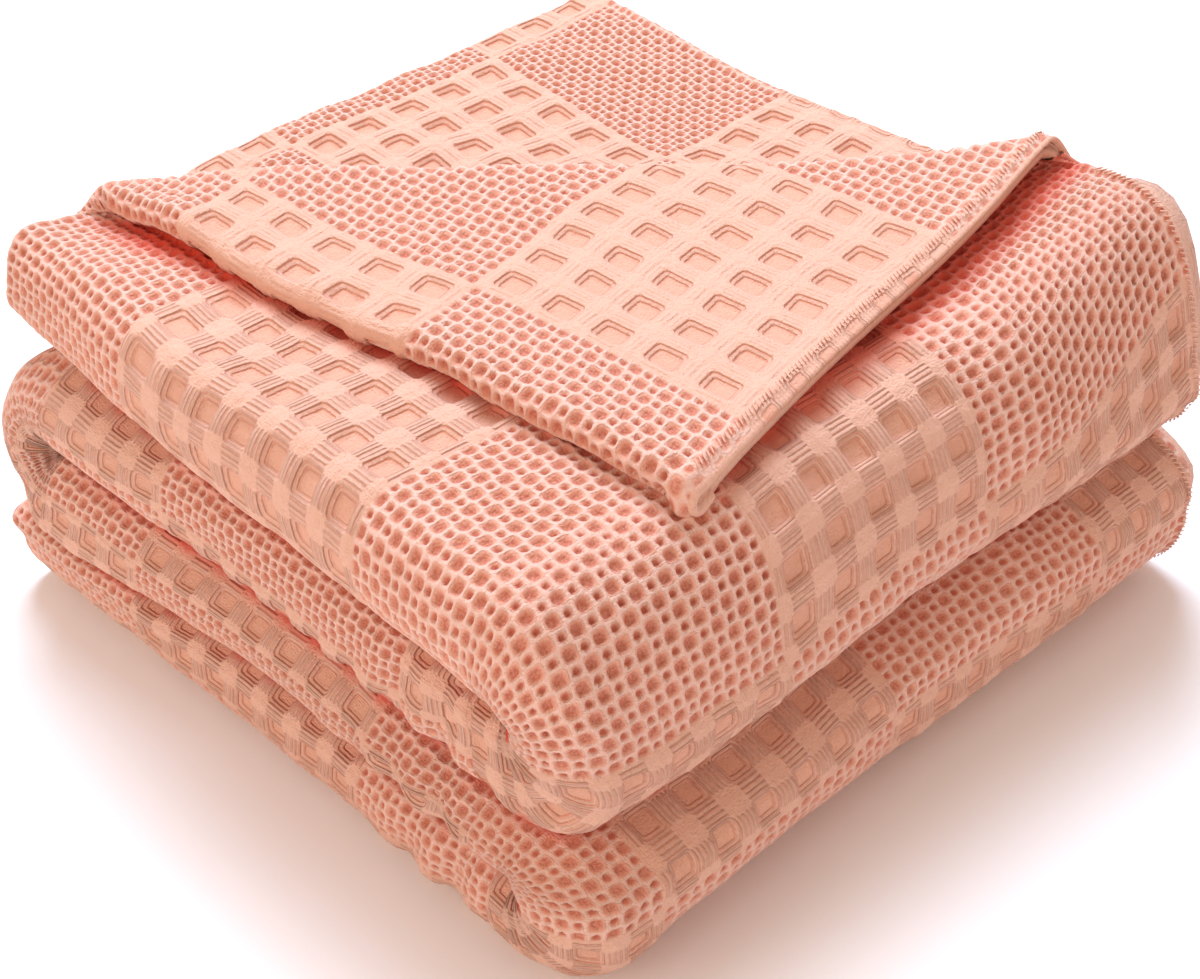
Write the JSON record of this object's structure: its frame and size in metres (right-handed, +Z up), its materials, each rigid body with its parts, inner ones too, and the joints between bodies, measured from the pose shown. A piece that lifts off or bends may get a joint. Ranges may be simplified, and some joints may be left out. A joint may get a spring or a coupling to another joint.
{
  "type": "folded waffle weave cotton blanket",
  "caption": "Peach cotton blanket in a waffle and honeycomb weave, folded into a square stack with rolled fronts, one corner of the top turned back.",
  "frame": {"origin": "on the ground, at the middle of the folded stack's extents", "axes": "+Z up; -Y is the side of the two big rolls, -X the side of the lengthwise folds, +X the side of the hems"},
  "size_m": [0.3212, 0.3242, 0.1652],
  "materials": {
    "cotton": "matt peach-pink cotton, waffle squares and fine honeycomb mesh in a checkerboard of blocks"
  },
  "bodies": {
    "root": {"blanket": "cotton"}
  },
  "joints": []
}
